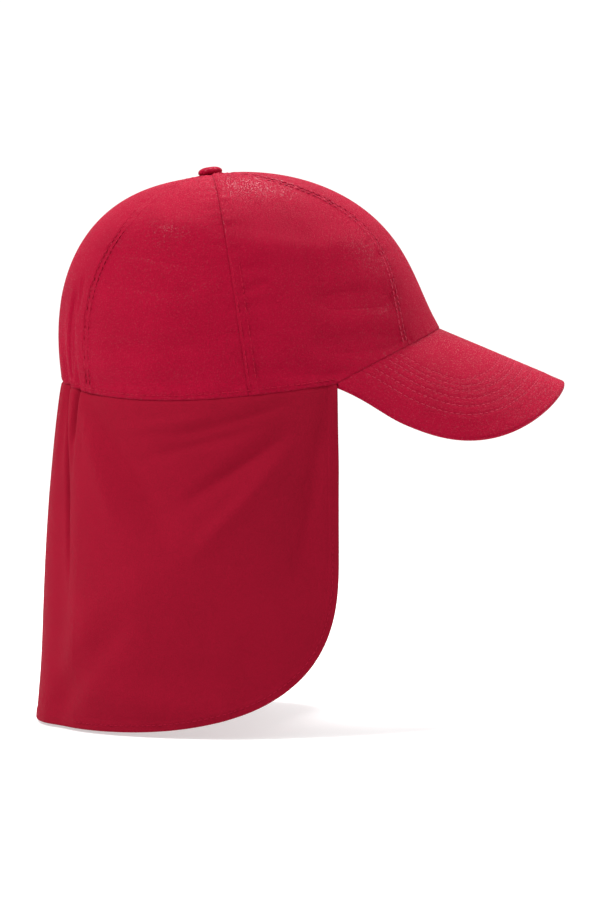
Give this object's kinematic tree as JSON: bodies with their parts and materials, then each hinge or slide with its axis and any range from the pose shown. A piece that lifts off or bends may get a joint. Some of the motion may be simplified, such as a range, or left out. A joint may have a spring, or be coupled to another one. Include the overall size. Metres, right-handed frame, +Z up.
{
  "type": "legionnaire cap",
  "caption": "Soft cotton cap with a panelled round crown, a covered button on top, a curved stitched peak and a neck flap that hangs from the sides and back of the rim.",
  "frame": {"origin": "middle of the head opening, on the outside of the rim, where the cap sits on the head", "axes": "+X ahead towards the peak, +Y to the wearer's left, +Z up as worn"},
  "size_m": [0.2751, 0.179, 0.287],
  "materials": {
    "crown_cotton": "matt brushed cotton twill, deep red",
    "peak_cotton": "matt brushed cotton twill over a stiff core, stitched in rows",
    "flap_cotton": "matt light cotton, deep red"
  },
  "bodies": {
    "root": {"front_panel": "crown_cotton", "left_side_panel": "crown_cotton", "right_side_panel": "crown_cotton", "left_back_panel": "crown_cotton", "right_back_panel": "crown_cotton", "rear_panel": "crown_cotton", "button": "crown_cotton", "peak": "peak_cotton", "neck_flap": "flap_cotton"}
  },
  "joints": []
}
